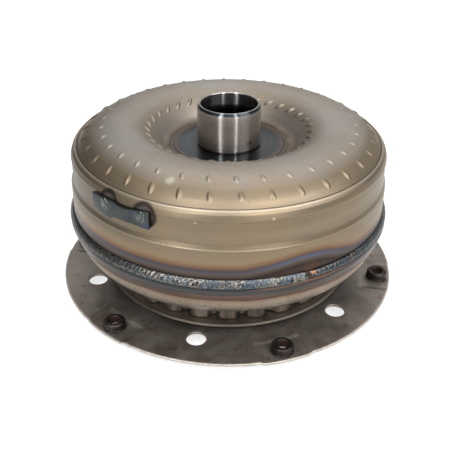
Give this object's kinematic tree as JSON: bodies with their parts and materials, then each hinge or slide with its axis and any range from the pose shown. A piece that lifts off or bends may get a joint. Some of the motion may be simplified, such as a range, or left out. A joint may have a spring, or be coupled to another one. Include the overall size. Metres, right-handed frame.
{
  "type": "torque converter",
  "caption": "Lock-up torque converter with pump hub, domed impeller shell, welded front cover, scalloped clutch drum and bolt-on drive plate.",
  "frame": {"origin": "centre of the pilot's flat end, which is the lowest point", "axes": "+Z along the converter's axis from the engine side to the pump hub; -Y is the front"},
  "size_m": [0.2798, 0.279, 0.155],
  "materials": {
    "shell_steel": "deep-drawn low-carbon steel with a straw oxide tint, satin",
    "hub_steel": "ground and polished on the neck, oxide-tinted flange",
    "weld_metal": "blue-grey arc weld bead with bright ripples",
    "cover_steel": "pressed steel, heat-tinted near the weld",
    "turned_steel": "turned, fine lathe marks",
    "plate_steel": "dark phosphated sheet, satin",
    "nut_steel": "black oxide, light rust in the threads",
    "strap_steel": "hot-rolled scale, blue-grey",
    "blade_steel": "pressed sheet steel",
    "clutch_steel": "pressed steel, satin",
    "lining": "steel core with brown paper-based lining on both faces",
    "spring_steel": "shot-peened spring wire",
    "rivet_steel": "plain steel",
    "piston_steel": "machined steel",
    "seal_rubber": "black, matte",
    "stator_alloy": "die-cast, matte",
    "race_steel": "hardened and ground",
    "bearing_steel": "hardened, bright",
    "side_plate_bronze": "bearing bronze, satin"
  },
  "bodies": {
    "housing": {"impeller_shell": "shell_steel", "impeller_blades": "blade_steel", "pump_hub": "hub_steel", "hub_weld": "weld_metal", "closure_weld": "weld_metal", "front_cover": "cover_steel", "pilot": "turned_steel", "drive_ring": "turned_steel", "flexplate": "plate_steel", "plate_weld": "weld_metal", "weld_nut_1": "nut_steel", "weld_nut_2": "nut_steel", "weld_nut_3": "nut_steel", "weld_nut_4": "nut_steel", "weld_nut_5": "nut_steel", "weld_nut_6": "nut_steel", "balance_strap": "strap_steel", "strap_weld_1": "weld_metal", "strap_weld_2": "weld_metal", "cover_hub": "turned_steel", "piston_cylinder": "turned_steel", "backing_plate": "clutch_steel", "clutch_snap_ring": "clutch_steel", "pump_thrust_bearing": "bearing_steel", "cover_thrust_bearing": "bearing_steel"},
    "turbine": {"turbine_shell": "blade_steel", "turbine_blades": "blade_steel", "turbine_hub": "turned_steel", "damper_upper_cover": "clutch_steel", "damper_lower_cover": "clutch_steel", "damper_spring_1": "spring_steel", "damper_spring_2": "spring_steel", "damper_spring_3": "spring_steel", "damper_spring_4": "spring_steel", "damper_spring_5": "spring_steel", "damper_spring_6": "spring_steel", "hub_rivet_1": "rivet_steel", "hub_rivet_2": "rivet_steel", "hub_rivet_3": "rivet_steel", "hub_rivet_4": "rivet_steel", "hub_rivet_5": "rivet_steel", "hub_rivet_6": "rivet_steel", "turbine_thrust_bearing": "bearing_steel"},
    "damper_input": {"drive_plate": "clutch_steel", "clutch_hub": "clutch_steel"},
    "friction_1": {"friction_plate_1": "lining"},
    "friction_2": {"friction_plate_2": "lining"},
    "friction_3": {"friction_plate_3": "lining"},
    "steel_1": {"steel_plate_1": "clutch_steel"},
    "steel_2": {"steel_plate_2": "clutch_steel"},
    "piston": {"piston": "piston_steel", "piston_outer_seal": "seal_rubber", "piston_inner_seal": "seal_rubber"},
    "stator": {"stator_wheel": "stator_alloy", "outer_race": "race_steel", "roller_cage": "race_steel", "stator_upper_plate": "side_plate_bronze", "stator_lower_plate": "side_plate_bronze"},
    "inner_race": {"inner_race": "race_steel"}
  },
  "joints": [
    {"name": "turbine_spin", "type": "hinge", "parent": "housing", "child": "turbine", "pos_m": [0, 0, 0.065], "axis": [0, 0, 1], "continuous": true},
    {"name": "inner_race_spin", "type": "hinge", "parent": "housing", "child": "inner_race", "pos_m": [0, 0, 0.102], "axis": [0, 0, 1], "continuous": true},
    {"name": "stator_spin", "type": "hinge", "parent": "inner_race", "child": "stator", "pos_m": [0, 0, 0.102], "axis": [0, 0, 1], "continuous": true},
    {"name": "damper_twist", "type": "hinge", "parent": "turbine", "child": "damper_input", "pos_m": [0, 0, 0.055], "axis": [0, 0, 1], "range_deg": [-6, 6], "stiffness_Nm_per_rad": 400},
    {"name": "piston_slide", "type": "slide", "parent": "housing", "child": "piston", "axis": [0, 0, 1], "range_m": [0, 0.0018]},
    {"name": "friction_1_slide", "type": "slide", "parent": "damper_input", "child": "friction_1", "axis": [0, 0, 1], "range_m": [0, 0.0015]},
    {"name": "steel_1_slide", "type": "slide", "parent": "housing", "child": "steel_1", "axis": [0, 0, 1], "range_m": [0, 0.0012]},
    {"name": "friction_2_slide", "type": "slide", "parent": "damper_input", "child": "friction_2", "axis": [0, 0, 1], "range_m": [0, 0.0009]},
    {"name": "steel_2_slide", "type": "slide", "parent": "housing", "child": "steel_2", "axis": [0, 0, 1], "range_m": [0, 0.0006]},
    {"name": "friction_3_slide", "type": "slide", "parent": "damper_input", "child": "friction_3", "axis": [0, 0, 1], "range_m": [0, 0.0003]}
  ],
  "couplings": [
    {"joint": "friction_1_slide", "follows": "piston_slide", "ratio": 0.8333},
    {"joint": "steel_1_slide", "follows": "piston_slide", "ratio": 0.6666},
    {"joint": "friction_2_slide", "follows": "piston_slide", "ratio": 0.5},
    {"joint": "steel_2_slide", "follows": "piston_slide", "ratio": 0.3333},
    {"joint": "friction_3_slide", "follows": "piston_slide", "ratio": 0.1666}
  ]
}
